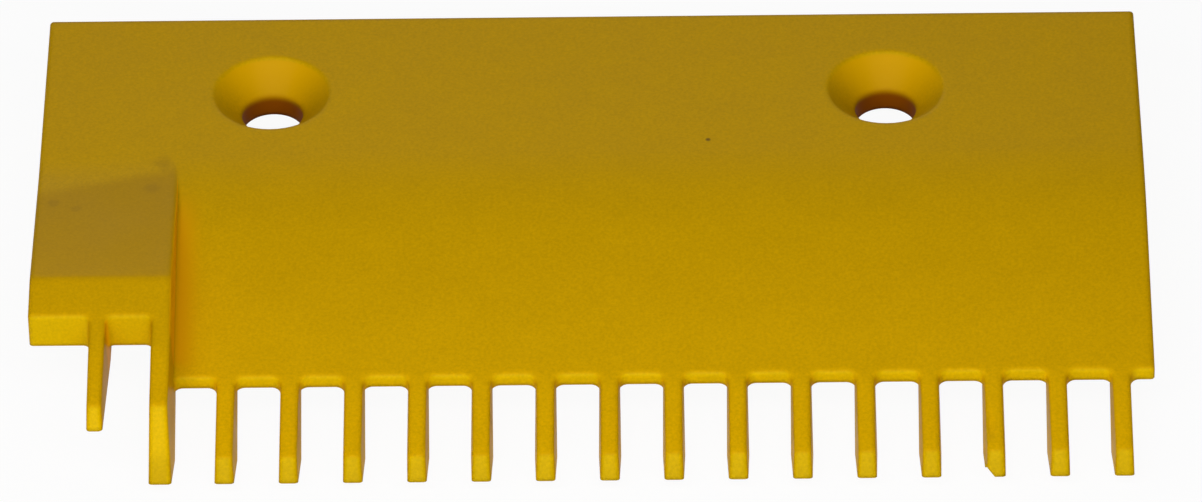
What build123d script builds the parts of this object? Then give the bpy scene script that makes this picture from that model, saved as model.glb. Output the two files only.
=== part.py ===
from build123d import *
import math
import os

# Comb plate for the landing end of an escalator: one piece, with a flat screwed-down
# rear, a front that slopes down to a row of teeth, and a raised block at the left end.
# Millimetres and degrees. X runs along the row of teeth, +Y points to the screwed rear,
# +Z is up. The origin lies on the underside seat, midway between the two screw holes.

# Row of teeth
tooth_pitch = 9.07
regular_teeth = 15
left_margin = 9.9
right_margin = 4.8

# Screw holes
screw_spacing = 89.7
screw_from_end = 33.2
screw_from_back = 17.8
screw_hole_radius = 4.5
countersink_radius = 8.55
countersink_angle = 90.0

# Plate, seen from the side; depths are measured forward from the back edge
seat_thickness = 7.5
seat_depth = 44.0
bend_depth = 40.5
bend_radius = 74.0
slope_angle = 11.5
plate_depth = 74.5
front_edge_thickness = 1.95

# Teeth: half widths are at the top, where the tooth leaves the plate or the block
tooth_half_width = 1.28
tooth_draft = 3.0
tooth_reach = 14.15
nose_angle = 66.0
nose_height = 3.6
tooth_taper = 0.9
crest_radius = 0.9
keel_setback = 7.4
keel_drop = 1.8
keel_rise_angle = 26.0
root_corner_radius = 1.35

# Raised end block and its two ribs; the setback is measured from the front edge of the plate
block_start_depth = 36.0
block_start_radius = 60.0
block_front_setback = 5.0
block_crest_setback = 7.0
block_crest_radius = 3.0
block_lift = 6.38
block_front_height = 5.4
rib_corner_radius = 1.0
first_rib_half_width = 1.15
second_rib_half_width = 1.3
rib_draft = 2.3
first_nose_height = 3.4
first_keel_setback = 18.0
first_keel_drop = 3.2
first_keel_length = 15.0

# Damaged tooth, counted in pitches from the long rib: a long dent in its top left edge and a chipped tip
damaged_tooth = 13
dent_setback = 9.6
dent_half_length = 4.2
dent_radius = 0.75
dent_depth = 0.38
dent_inset = 0.62
chip_width = 1.2
chip_height = 1.5

# Rounded edges
tooth_edge_radius = 0.55
block_edge_radius = 0.6
outline_edge_radius = 0.4
rim_radius = 0.2
corner_inset = 0.05
tolerance = 0.002

# Places worked out from the sizes above
left = -screw_spacing / 2 - screw_from_end
back = screw_from_back
first_tooth = left + left_margin
second_tooth = first_tooth + tooth_pitch
regular_start = second_tooth + tooth_pitch / 2
right = second_tooth + regular_teeth * tooth_pitch + right_margin
front = back - plate_depth
bend = back - bend_depth
fall = math.tan(math.radians(slope_angle))
steep = math.tan(math.radians(nose_angle))
lean = math.tan(math.radians(tooth_taper))


# Height of the sloping top face at the place y
def slope_height(y):
    return seat_thickness - fall * (bend - y)


# Where the front edge, the underside and the tooth noses lie
front_top = slope_height(front)
front_under = front_top - front_edge_thickness
seat_front = back - seat_depth
under_fall = front_under / (front - seat_front)
crest = front - tooth_reach
tip = crest - nose_height / steep
tip_height = slope_height(crest) - nose_height
keel = tip + keel_setback
keel_height = tip_height - keel_drop
keel_rise = math.tan(math.radians(keel_rise_angle))
fin_end = (keel_rise * keel - under_fall * seat_front - keel_height) / (keel_rise - under_fall)
fin_end_height = under_fall * (fin_end - seat_front)

# The block's own side outline
block_front = front + block_front_setback
block_crest = block_front + block_crest_setback
block_start = back - block_start_depth
block_top = slope_height(block_crest) + block_lift
block_front_top = block_top - fall * (block_crest - block_front)
block_front_foot = block_front_top - block_front_height
block_under_rise = block_front_foot / (seat_front - block_front)
rib_crest = (block_top - fall * block_crest - tip_height + steep * tip) / (steep - fall)
rib_crest_height = tip_height + steep * (rib_crest - tip)
first_tip_height = rib_crest_height - first_nose_height
first_tip = rib_crest - first_nose_height / steep
first_keel = first_tip + first_keel_setback
first_keel_height = block_front_foot - first_keel_drop
first_keel_end = min(first_keel + first_keel_length, seat_front - tolerance)
first_keel_end_height = block_under_rise * (seat_front - first_keel_end)
floor = keel_height - front_edge_thickness
ceiling = block_top + front_edge_thickness
block_side_x = second_tooth + second_rib_half_width
rib_spread = math.tan(math.radians(rib_draft))


# Face across the row of teeth from an outline of (y, z) points, some corners rounded
def side_face(points, *rounds):
    face = make_face(Polyline(*[Vector(0, y, z) for y, z in points], close=True))
    for number, radius in rounds:
        y, z = points[number]
        face = fillet(face.vertices().sort_by_distance(Vector(0, y, z))[0], radius)
    return face


# A side face swept along the row of teeth from start to end
def slab(face, start, end):
    return extrude(Pos(start, 0, 0) * face, amount=end - start, dir=(1, 0, 0))


# A bar forward from the seat with one drafted flank; the flank closes in by the lean, starting from the root
def flank_bar(centre, half_width, level, draft, lean, root, side):
    spread = math.tan(math.radians(draft))
    out = half_width + lean * (seat_front - root)
    low, high = out + spread * (level - floor), out - spread * (ceiling - level)
    far = -side * tooth_pitch
    section = [(side * low, floor), (side * high, ceiling), (far, ceiling), (far, floor)]
    face = make_face(Polyline(*[Vector(centre + x, seat_front, z) for x, z in section], close=True))
    return extrude(face, amount=seat_front - tip + tooth_pitch, dir=(-side * lean, -1, 0))


# A tooth with drafted flanks that close in from the root to the tip, cut to its side outline
def tooth(centre, half_width, level, draft, outline, root, *leans):
    bar = slab(outline, centre - tooth_pitch / 2, centre + tooth_pitch / 2)
    for side in (-1, 1):
        for lean in leans:
            bar &= flank_bar(centre, half_width, level, draft, lean, root, side)
    return bar


# Whether a point lies on the sloping top of the plate, or of the block and its ribs
def on_slope(point, crest_place, crest_level):
    return abs(point.Z - crest_level + fall * (crest_place - point.Y)) < tolerance


# Height of the underside of a tooth's fin at the place y
def fin_under(y):
    return keel_height + keel_rise * (y - keel)


# Upright inner corners where teeth leave a front face at the place y
def inner_corners(body, y, low, high):
    picked = []
    for edge in body.edges().filter_by_position(Axis.Y, y - tolerance, y + tolerance):
        middle = edge @ 0.5
        if low < middle.Z < high and abs((edge @ 0).Z - (edge @ 1).Z) > (high - low) / 2:
            if left + tolerance < middle.X < right - tolerance:
                picked.append(edge)
    return picked


# Top edges of the teeth and of the front edge between them; the noses follow on from these
def crown_edges(body, front_place, crest_place, crest_level):
    picked = []
    for edge in body.edges():
        ends = [edge @ 0, edge @ 0.5, edge @ 1]
        if max(point.Y for point in ends) > front_place + tolerance:
            continue
        if not all(on_slope(point, crest_place, crest_level) for point in ends):
            continue
        if ends[1].Y > front_place - tolerance or abs(ends[0].X - ends[2].X) < tooth_half_width:
            picked.append(edge)
    return picked


# Edges along one end of the body: the top ones and the upright one at the front
def end_edges(body, x, front_place):
    picked = []
    for edge in body.edges().filter_by_position(Axis.X, x - tolerance, x + tolerance):
        upright = abs((edge @ 0.5).Y - front_place) < tolerance
        above = min((edge @ 0).Z, (edge @ 1).Z) > tolerance
        if (edge @ 0.5).Y < back - tolerance and (upright or above):
            picked.append(edge)
    return picked


# Side outlines
plate_side = side_face(
    [(back, 0), (back, seat_thickness), (bend, seat_thickness), (front, front_top),
     (front, front_under), (seat_front, 0)],
    (2, bend_radius),
)
fin_side = side_face(
    [(fin_end, slope_height(fin_end)), (crest, slope_height(crest)), (tip, tip_height),
     (keel, keel_height), (fin_end, fin_end_height)],
    (1, crest_radius),
)
block_side = side_face(
    [(back, 0), (back, seat_thickness), (block_start, seat_thickness), (block_crest, block_top),
     (block_front, block_front_top), (block_front, block_front_foot), (seat_front, 0)],
    (2, block_start_radius), (3, block_crest_radius),
)
rib_start = (block_crest + block_front) / 2
rib_top = [(rib_start, block_top - fall * (block_crest - rib_start)), (rib_crest, rib_crest_height)]
first_rib_side = side_face(
    rib_top + [(first_tip, first_tip_height), (first_keel, first_keel_height),
               (first_keel_end, first_keel_end_height), (rib_start, block_under_rise * (seat_front - rib_start))],
    (1, crest_radius),
)
second_rib_side = side_face(
    rib_top + [(tip, tip_height), (keel, keel_height), (fin_end, fin_end_height), (rib_start, 0)],
    (1, crest_radius),
)
corner_back, corner_end = front + root_corner_radius, front - 2 * root_corner_radius
corner_side = side_face([(corner_back, fin_under(corner_back)), (corner_back, slope_height(corner_back)),
                         (corner_end, slope_height(corner_end)), (corner_end, fin_under(corner_end))])

# Sloping plate with its regular teeth, and rounded corners between them
plate = slab(plate_side, second_tooth, right)
plate += [tooth(second_tooth + number * tooth_pitch, tooth_half_width, front_top, tooth_draft, fin_side, front, lean)
          for number in range(1, regular_teeth + 1)]
plate += tooth(second_tooth, second_rib_half_width - corner_inset, block_front_top, rib_draft, corner_side, front, 0)
plate = fillet(inner_corners(plate, front, front_under, front_top), root_corner_radius)
plate = fillet(crown_edges(plate, front, bend, seat_thickness)
               + end_edges(plate, right, front), tooth_edge_radius)

# Raised end block with its drafted inner wall, and the two ribs that leave it
wall = [(left, floor), (block_side_x + rib_spread * (block_front_top - floor), floor),
        (block_side_x - rib_spread * (ceiling - block_front_top), ceiling), (left, ceiling)]
wall_body = extrude(make_face(Polyline(*[Vector(x, back, z) for x, z in wall], close=True)),
                    amount=plate_depth, dir=(0, -1, 0))
block = wall_body & slab(block_side, left, regular_start)
block += tooth(first_tooth, first_rib_half_width, block_front_top, rib_draft, first_rib_side, block_front, lean)
block += tooth(second_tooth, second_rib_half_width, block_front_top, rib_draft, second_rib_side, front, 0, lean)
block = fillet(inner_corners(block, block_front, block_front_foot, block_front_top), rib_corner_radius)
block = fillet(crown_edges(block, block_front, block_crest, block_top)
               + end_edges(block, left, block_front), block_edge_radius)
comb_plate = plate + block

# Countersunk screw holes
sink_depth = (countersink_radius - screw_hole_radius) / math.tan(math.radians(countersink_angle / 2))
for x in (-screw_spacing / 2, screw_spacing / 2):
    comb_plate -= Pos(x, 0, seat_thickness / 2) * Cylinder(screw_hole_radius, 2 * seat_thickness)
    comb_plate -= Pos(x, 0, seat_thickness - sink_depth / 2) * Cone(screw_hole_radius, countersink_radius, sink_depth)

# Dent along the damaged tooth, turned from a flat arc that follows the slope, and the chip across its tip
damaged_place = second_tooth + damaged_tooth * tooth_pitch
dent_place = front - dent_setback
arc = ThreePointArc((0, -dent_half_length), (dent_radius, 0), (0, dent_half_length))
dent = revolve(make_face(arc + Line(arc @ 1, arc @ 0)), Axis.Y)
comb_plate -= Pos(damaged_place - tooth_half_width + lean * dent_setback + dent_inset, dent_place,
                  slope_height(dent_place) + dent_radius - dent_depth) * Rot(slope_angle, 0, 0) * dent
tip_half_width = (tooth_half_width - lean * (front - tip)
                  + math.tan(math.radians(tooth_draft)) * (front_top - tip_height))
nose = Plane(origin=(damaged_place - tip_half_width, tip, tip_height), x_dir=(1, 0, 0), z_dir=(0, -steep, 1))
chip = make_face(Polyline((2 * chip_width, -chip_height), (-chip_width, 2 * chip_height),
                          (-2 * chip_width, -2 * chip_height), close=True))
comb_plate -= extrude(nose * chip, amount=2 * chip_height, both=True)

# Rounded back corners with the back top edge, and softened hole rims
posts = [edge for edge in comb_plate.edges().filter_by(Axis.Z) if abs((edge @ 0.5).Y - back) < tolerance]
comb_plate = fillet(posts, outline_edge_radius)
rims = [edge for edge in comb_plate.edges().filter_by(GeomType.CIRCLE)
        if abs((edge @ 0).Z - seat_thickness) < tolerance and abs(edge.radius - countersink_radius) < tolerance]
comb_plate = fillet(rims, rim_radius)

os.makedirs("parts", exist_ok=True)
export_step(comb_plate, "parts/comb_plate.step")
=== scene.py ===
import math
import bpy
from mathutils import Matrix, Vector


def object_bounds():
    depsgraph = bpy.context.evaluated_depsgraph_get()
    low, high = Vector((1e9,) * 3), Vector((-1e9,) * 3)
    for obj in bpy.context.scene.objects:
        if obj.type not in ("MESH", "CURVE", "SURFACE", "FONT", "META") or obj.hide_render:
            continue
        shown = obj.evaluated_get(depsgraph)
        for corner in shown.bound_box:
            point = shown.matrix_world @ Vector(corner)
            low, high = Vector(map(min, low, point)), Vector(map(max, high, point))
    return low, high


# Comb plate on a pale studio floor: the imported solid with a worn, moulded yellow finish.
# Lengths are in metres, angles in degrees, colours are linear.

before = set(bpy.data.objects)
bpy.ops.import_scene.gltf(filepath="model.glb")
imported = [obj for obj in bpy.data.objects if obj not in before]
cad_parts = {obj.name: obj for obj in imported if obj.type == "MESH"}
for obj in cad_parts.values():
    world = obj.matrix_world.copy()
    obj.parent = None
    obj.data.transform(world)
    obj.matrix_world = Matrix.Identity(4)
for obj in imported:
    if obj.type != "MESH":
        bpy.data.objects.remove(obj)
bpy.context.view_layer.update()
cadLow, cadHigh = [list(corner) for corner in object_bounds()]
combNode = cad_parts["comb_plate"]
print("frame loaded:", len(combNode.data.polygons), "faces")


# Camera, fitted to the photograph
cameraSettings = {
    "target": (0.00145, -0.0222, 0.0045),    # the point that the photograph's camera was fitted round
    "distance": 1.36946,
    "downTilt": 38.603,
    "turn": -0.707,
    "roll": -0.998,
    "focal": 9481.6,                         # pixels of the 1202 pixel wide frame
    "opticalCentre": (588.5, 200.68),
    "frameSize": (1202, 502),
    "sensorWidth": 36.0,
    "clip": (0.01, 20.0),
}


# Looks along the tilted and turned direction from the given distance, with the lens centre shifted in the frame
def makeCamera(settings):
    tilt, turn, roll = [math.radians(settings[name]) for name in ("downTilt", "turn", "roll")]
    forward = Vector((math.sin(turn) * math.cos(tilt), math.cos(turn) * math.cos(tilt), -math.sin(tilt)))
    levelRight = Vector((forward.y, -forward.x, 0)).normalized()
    levelUp = levelRight.cross(forward)
    right = levelRight * math.cos(roll) + levelUp * math.sin(roll)
    up = levelUp * math.cos(roll) - levelRight * math.sin(roll)
    data = bpy.data.cameras.new("photoCamera")
    width, height = settings["frameSize"]
    centreX, centreY = settings["opticalCentre"]
    data.sensor_fit = "HORIZONTAL"
    data.sensor_width = settings["sensorWidth"]
    data.lens = settings["focal"] / width * settings["sensorWidth"]
    data.shift_x = (width / 2 - centreX) / width
    data.shift_y = (centreY - height / 2) / width
    data.clip_start, data.clip_end = settings["clip"]
    camera = bpy.data.objects.new("photoCamera", data)
    place = Vector(settings["target"]) - forward * settings["distance"]
    turned = Matrix((right, up, -forward)).transposed().to_4x4()
    camera.matrix_world = Matrix.Translation(place) @ turned
    bpy.context.scene.collection.objects.link(camera)
    bpy.context.scene.camera = camera


makeCamera(cameraSettings)
print("camera placed")


# Pale floor, soft lamps and a surround that is white where it is seen and dark to the light on the part
studioSettings = {
    "floorSize": 3.0,
    "floorColour": (0.9, 0.9, 0.9),
    "floorRoughness": 0.9,
    "floorDrop": 0.0002,                     # gap below the lowest tooth keel
    "floorWhite": 0.94,                      # share of plain white that shows on the floor
    "lamps": {
        "frontSoftbox": {"place": (-0.12, -1.0, 0.25), "size": 0.6, "power": 5.2},
        "nearStrip": {"place": (-0.01, -0.18, 0.22), "size": 0.5, "height": 0.1, "power": 0.55},
        "backSoftbox": {"place": (-0.08, 1.0, 0.4), "size": 0.6, "power": 2.6},
        "cameraSoftbox": {"place": (0.0, -1.0, 0.95), "size": 0.12, "power": 1.3},
    },
}


# 1 for rays that show the background, also mirrored or through glass, and 0 for those that light the part
def raysThatShow(tree):
    path = tree.nodes.new("ShaderNodeLightPath")
    shown = path.outputs["Is Camera Ray"]
    for name in ("Is Glossy Ray", "Is Transmission Ray"):
        either = tree.nodes.new("ShaderNodeMath")
        either.operation = "MAXIMUM"
        tree.links.new(shown, either.inputs[0])
        tree.links.new(path.outputs[name], either.inputs[1])
        shown = either.outputs[0]
    return shown


# Mixes plain white into the background that is seen, and leaves the light on other surfaces as it is
def showWhite(tree, surface, share):
    glow, mix = tree.nodes.new("ShaderNodeEmission"), tree.nodes.new("ShaderNodeMixShader")
    level = tree.nodes.new("ShaderNodeMath")
    level.operation = "MULTIPLY"
    level.inputs[1].default_value = share
    tree.links.new(raysThatShow(tree), level.inputs[0])
    tree.links.new(level.outputs[0], mix.inputs[0])
    tree.links.new(surface, mix.inputs[1])
    tree.links.new(glow.outputs[0], mix.inputs[2])
    tree.links.new(mix.outputs[0], tree.nodes["Material Output"].inputs["Surface"])


def makeFloor(settings, level):
    half = settings["floorSize"] / 2
    corners = [(-half, -half, level), (half, -half, level), (half, half, level), (-half, half, level)]
    mesh = bpy.data.meshes.new("studioFloor")
    mesh.from_pydata(corners, [], [(0, 1, 2, 3)])
    floor = bpy.data.objects.new("studioFloor", mesh)
    bpy.context.scene.collection.objects.link(floor)
    material = bpy.data.materials.new("paleFloor")
    material.use_nodes = True
    shader = material.node_tree.nodes["Principled BSDF"]
    shader.inputs["Base Color"].default_value = (*settings["floorColour"], 1)
    shader.inputs["Roughness"].default_value = settings["floorRoughness"]
    shader.inputs["Specular IOR Level"].default_value = 0.0
    showWhite(material.node_tree, shader.outputs["BSDF"], settings["floorWhite"])
    mesh.materials.append(material)


# Flat lamp that faces the target and isn't seen itself
def makeSoftbox(name, settings, target):
    data = bpy.data.lights.new(name, "AREA")
    data.shape = "RECTANGLE"
    data.size = settings["size"]
    data.size_y = settings.get("height", settings["size"])
    data.energy = settings["power"]
    lamp = bpy.data.objects.new(name, data)
    place = Vector(settings["place"])
    lamp.location = place
    lamp.rotation_mode = "QUATERNION"
    lamp.rotation_quaternion = (target - place).to_track_quat("-Z", "Y")
    lamp.visible_camera = False
    bpy.context.scene.collection.objects.link(lamp)


def makeWorld():
    world = bpy.data.worlds.new("studioSurround")
    world.use_nodes = True
    background = world.node_tree.nodes["Background"]
    background.inputs["Color"].default_value = (1, 1, 1, 1)
    world.node_tree.links.new(raysThatShow(world.node_tree), background.inputs["Strength"])
    bpy.context.scene.world = world


middle = (Vector(cadLow) + Vector(cadHigh)) / 2
makeFloor(studioSettings, cadLow[2] - studioSettings["floorDrop"])
for lampName, lampSettings in studioSettings["lamps"].items():
    makeSoftbox(lampName, lampSettings, middle)
makeWorld()
print("studio ready")


# Finish of the moulding: semi-gloss yellow with fine grain, faint mottling, haze, dirt and a few specks, and
# painted light and shade: brightness along Y, a yellower front, orange bounce light at the block's inner wall,
# a lit far wall in the countersinks and brown shade in the bores.
# A pair of numbers says where a ramp starts and where it is full.
finishSettings = {
    # colours
    "yellow": (0.62, 0.348, 0.0),
    "haze": (0.50, 0.36, 0.0),               # greyer tone on the flat rear
    "paintedFrontLight": (0.63, 0.400, 0.0),             # painted light: yellower tone where the surface faces forward, toward the lamps
    "foot": (0.68, 0.330, 0.0),              # painted shade with orange bounce light along the foot of the block's inner wall
    "wall": (0.90, 0.450, 0.0),              # painted orange bounce light on the inner wall of the block
    "paintedConeWallLight": (0.68, 0.365, 0.0),              # painted light on the far wall of the countersinks
    "paintedBoreShade": (0.26, 0.046, 0.0),              # painted shade: dark brown inside the screw holes
    "film": (0.37, 0.190, 0.0),              # matt film of dirt on top of the block
    "grime": (0.16, 0.085, 0.012),
    # gloss and surface
    "roughness": (0.37, 0.49),
    "specular": 0.015,
    "coat": 0.02,
    "coatRoughness": 0.2,
    "coatTilt": (0.4, 0.9),                  # sideways part of the normal over which the coat fades out
    "softEdge": 0.0012,                      # reach of the softened edges
    "softSamples": 6,
    "peel": {"scale": 1500.0, "detail": 3.0},
    "peelHeight": 0.000006,
    # patterns: scale in features per metre
    "noiseMiddle": (0.25, 0.75),             # values between which most of a noise lies
    "grain": {"scale": 2300.0, "detail": 2.0, "roughness": 0.6},
    "grainDepth": 0.10,
    "mottle": {"scale": 170.0, "detail": 4.0},
    "mottleDepth": 0.025,
    "patches": {"scale": 38.0, "detail": 5.0, "roughness": 0.6},
    # painted light and shade: brightness laid into the colour at places along Y, from the tips to the rear
    "paintedLightAlongY": [
        (-0.0722, 0.90), (-0.0712, 0.95), (-0.0702, 1.15), (-0.060, 1.14), (-0.056, 1.05),
        (-0.050, 1.04), (-0.038, 0.98), (-0.026, 0.96), (-0.016, 0.99), (0.018, 1.04),
    ],
    "hazeShare": 0.03,
    "hazePatches": (0.6, 1.4),
    "hazeY": (-0.045, -0.018),
    "forwardTilt": (-0.5, -0.95),            # Y part of the normal, over which the painted front light sets in
    "undersideTilt": (-0.5, -0.2),           # Z part of the normal, below which no shade or dirt is laid
    # painted shade and orange bounce light at the foot and on the inner wall of the block
    "footX": (-0.0585, -0.0570),
    "footEndX": (-0.0535, -0.0570),
    "footRearY": (-0.0200, -0.0300),
    "footFrontY": (-0.0560, -0.0530),
    "wallTilt": (0.6, 0.9),                  # X part of the normal
    "wallX": (-0.0550, -0.0560),
    # screw holes, with painted light on the countersinks' far wall and painted shade in the bores
    "holeAcross": 0.04485,                   # distance of each axis from the middle
    "holeRim": (0.0088, 0.0085),
    "holeTop": (0.0073, 0.0071),
    "farWallY": (-0.002, 0.007),
    "boreTop": (0.00395, 0.00225),
    "boreShare": 0.9,
    # dirt on top of the block
    "filmShare": (0.336, 0.504),
    "filmSlant": 0.36,                       # slope of the film's rear border
    "filmRagged": 0.0015,
    "filmRear": (0.0056, 0.0022),
    "filmCrestY": (-0.0460, -0.0435),
    "filmCrestShare": 0.25,
    "filmInnerX": (-0.0577, -0.0583),
    "stainEdge": (0.3, 1.2),                 # shares of the radius over which a stain fades
    "stainUneven": 0.5,
    # stains as (x, y, z, radius, strength)
    "stains": [
        (-0.0600, -0.0165, 0.0075, 0.0022, 0.24), (-0.0615, -0.0225, 0.0078, 0.0016, 0.16),
        (-0.0755, -0.0260, 0.0079, 0.0009, 0.20), (-0.0722, -0.0275, 0.0081, 0.0008, 0.16),
        (0.0188, -0.0120, 0.0075, 0.0004, 0.9),
    ],
}


# Small helper round a shader tree: adds nodes with their inputs and returns one output
class NodeDesk:
    def __init__(self, tree):
        self.tree = tree

    def add(self, kind, inputs, output=0, **options):
        node = self.tree.nodes.new(kind)
        for name, value in options.items():
            setattr(node, name, value)
        for name, value in inputs.items():
            if isinstance(value, bpy.types.NodeSocket):
                self.tree.links.new(value, node.inputs[name])
            else:
                node.inputs[name].default_value = value
        return node.outputs[output]

    def noise(self, place, scale, detail, roughness=0.5):
        return self.add("ShaderNodeTexNoise", {"Vector": place, "Scale": scale, "Detail": detail,
                                               "Roughness": roughness})

    # Straight ramp, level before its start and after its end
    def slope(self, value, ends, levels=(0.0, 1.0), shape="LINEAR"):
        return self.add("ShaderNodeMapRange", {"Value": value, "From Min": ends[0], "From Max": ends[1],
                                               "To Min": levels[0], "To Max": levels[1]},
                        interpolation_type=shape)

    # Ramp that eases in and out
    def ease(self, value, ends, levels=(0.0, 1.0)):
        return self.slope(value, ends, levels, "SMOOTHSTEP")

    # Middle part of a noise, spread between two levels
    def spread(self, noise, levels, ends=(0.3, 0.7)):
        return self.slope(noise, ends, levels)

    def maths(self, operation, first, second=0.0):
        return self.add("ShaderNodeMath", {0: first, 1: second}, operation=operation)

    def product(self, first, *others):
        for other in others:
            first = self.maths("MULTIPLY", first, other)
        return first

    def vector(self, operation, first, output=0, **inputs):
        return self.add("ShaderNodeVectorMath", {0: first, **inputs}, output, operation=operation)

    # X, Y and Z of a vector
    def parts(self, vector):
        return self.add("ShaderNodeSeparateXYZ", {0: vector}).node.outputs

    # Lays a colour over another where the mask is 1
    def lay(self, under, colour, mask):
        over = colour if isinstance(colour, bpy.types.NodeSocket) else (*colour, 1)
        return self.add("ShaderNodeMix", {0: mask, 6: under, 7: over}, output=2, data_type="RGBA")


# Level that passes through the given (place, level) pairs: the first ramp, plus the rise of each later one
def fadeAlong(desk, place, pairs):
    level = desk.slope(place, (pairs[0][0], pairs[1][0]), (pairs[0][1], pairs[1][1]))
    for (start, first), (end, second) in zip(pairs[1:], pairs[2:]):
        level = desk.maths("ADD", level, desk.slope(place, (start, end), (0.0, second - first)))
    return level


# Yellow pigment with painted light and shade: grain times mottling times the painted brightness along Y, hazier
# at the rear, and a painted yellower tone of brighter light on front faces
def layPigmentAndPaintedLight(desk, surface, settings):
    grainLevels = (1 - settings["grainDepth"], 1 + settings["grainDepth"])
    mottleLevels = (1 - settings["mottleDepth"], 1 + settings["mottleDepth"])
    grain = desk.noise(surface["place"], **settings["grain"])
    # the tone carries the painted light and shade along Y as well as grain and mottling
    toneAndPaintedLight = desk.product(desk.spread(grain, grainLevels, settings["noiseMiddle"]),
                        desk.spread(surface["mottle"], mottleLevels, settings["noiseMiddle"]),
                        fadeAlong(desk, surface["axes"][1], settings["paintedLightAlongY"]))
    yellow = desk.vector("SCALE", settings["yellow"], Scale=toneAndPaintedLight)
    paintedFrontLight = desk.vector("SCALE", settings["paintedFrontLight"], Scale=toneAndPaintedLight)
    rearGreying = desk.product(desk.spread(surface["patches"], settings["hazePatches"]),
                        desk.ease(surface["axes"][1], settings["hazeY"]), settings["hazeShare"])
    colour = desk.lay(yellow, settings["haze"], rearGreying)
    # painted light: surfaces facing forward get the yellower tone of brighter light
    return desk.lay(colour, paintedFrontLight, desk.ease(surface["facing"][1], settings["forwardTilt"]))


# Painted orange bounce light on the block's inner wall, and painted shade with bounce light along its foot
def paintBounceLightOnBlockWall(desk, surface, colour, settings):
    across, along, _ = surface["axes"]
    front = desk.ease(along, settings["footFrontY"])
    foot = desk.product(desk.ease(across, settings["footX"]), desk.ease(across, settings["footEndX"]),
                        desk.ease(along, settings["footRearY"]), front, surface["above"])
    wall = desk.product(desk.slope(surface["facing"][0], settings["wallTilt"]),
                        desk.slope(across, settings["wallX"]), front)
    return desk.lay(desk.lay(colour, settings["foot"], foot), settings["wall"], wall)


# Screw holes, by the distance from the nearer axis: painted light on the far wall of the countersink, painted
# brown shade in the bore
def shadeScrewHoles(desk, surface, colour, settings):
    across, along, height = surface["axes"]
    offset = desk.maths("SUBTRACT", desk.maths("ABSOLUTE", across), settings["holeAcross"])
    flat = desk.add("ShaderNodeCombineXYZ", {0: offset, 1: along, 2: 0.0})
    inside = desk.product(desk.slope(desk.vector("LENGTH", flat, "Value"), settings["holeRim"]),
                          desk.slope(height, settings["holeTop"]), surface["above"])
    paintedLitFarWall = desk.product(inside, desk.ease(along, settings["farWallY"]))
    paintedBoreShade = desk.product(inside, desk.ease(height, settings["boreTop"], (0.0, settings["boreShare"])))
    return desk.lay(desk.lay(colour, settings["paintedConeWallLight"], paintedLitFarWall), settings["paintedBoreShade"], paintedBoreShade)


# Film of dirt on top of the block, from a slanting, ragged rear border to the crest
def dirtyBlockTop(desk, surface, colour, settings):
    across, along, _ = surface["axes"]
    ragged = (-settings["filmRagged"], settings["filmRagged"])
    border = desk.maths("ADD", desk.maths("SUBTRACT", along, desk.product(across, settings["filmSlant"])),
                        desk.spread(surface["patches"], ragged))
    covered = desk.product(desk.ease(border, settings["filmRear"]),
                           desk.ease(along, settings["filmCrestY"], (settings["filmCrestShare"], 1.0)),
                           desk.ease(across, settings["filmInnerX"]),
                           desk.spread(surface["patches"], settings["filmShare"], settings["noiseMiddle"]),
                           surface["above"])
    return desk.lay(colour, settings["film"], covered)


# Round stains with edges made uneven by the mottling
def addStains(desk, surface, colour, settings):
    for *centre, radius, strength in settings["stains"]:
        away = desk.add("ShaderNodeVectorMath", {0: surface["place"], 1: centre}, output="Value",
                        operation="DISTANCE")
        shift = radius * settings["stainUneven"]
        uneven = desk.maths("ADD", away, desk.spread(surface["mottle"], (-shift, shift)))
        stain = desk.ease(uneven, [radius * share for share in settings["stainEdge"]], (strength, 0.0))
        colour = desk.lay(colour, settings["grime"], stain)
    return colour


# Moulded yellow finish, with softened edges, fine peel and a thin coat that is left off the upright flanks
def makeMoulding(settings):
    material = bpy.data.materials.new("yellowMoulding")
    material.use_nodes = True
    desk, shader = NodeDesk(material.node_tree), material.node_tree.nodes["Principled BSDF"]
    place = desk.add("ShaderNodeTexCoord", {}, output="Object")
    facing = desk.parts(desk.add("ShaderNodeTexCoord", {}, output="Normal"))
    surface = {
        "place": place,
        "axes": desk.parts(place),
        "facing": facing,
        "above": desk.slope(facing[2], settings["undersideTilt"]),
        "mottle": desk.noise(place, **settings["mottle"]),
        "patches": desk.noise(place, **settings["patches"]),
    }
    colour = layPigmentAndPaintedLight(desk, surface, settings)
    # the layers add painted bounce light at the block's inner wall, painted light and shade in the screw holes,
    # dirt on the block top and stains
    for layer in (paintBounceLightOnBlockWall, shadeScrewHoles, dirtyBlockTop, addStains):
        colour = layer(desk, surface, colour, settings)
    edges = desk.add("ShaderNodeBevel", {"Radius": settings["softEdge"]}, samples=settings["softSamples"])
    relief = desk.add("ShaderNodeBump", {"Height": desk.noise(place, **settings["peel"]), "Strength": 1.0,
                                         "Distance": settings["peelHeight"], "Normal": edges})
    coat = desk.slope(desk.maths("ABSOLUTE", facing[0]), settings["coatTilt"], (settings["coat"], 0.0))
    for name, value in (("Base Color", colour), ("Normal", relief), ("Coat Weight", coat),
                        ("Roughness", desk.spread(surface["mottle"], settings["roughness"]))):
        material.node_tree.links.new(value, shader.inputs[name])
    shader.inputs["Specular IOR Level"].default_value = settings["specular"]
    shader.inputs["Coat Roughness"].default_value = settings["coatRoughness"]
    return material


for slot in combNode.material_slots:
    slot.material = makeMoulding(finishSettings)
print("moulding finished")

bpy.context.scene.view_settings.view_transform = "Standard"
bpy.context.view_layer.update()
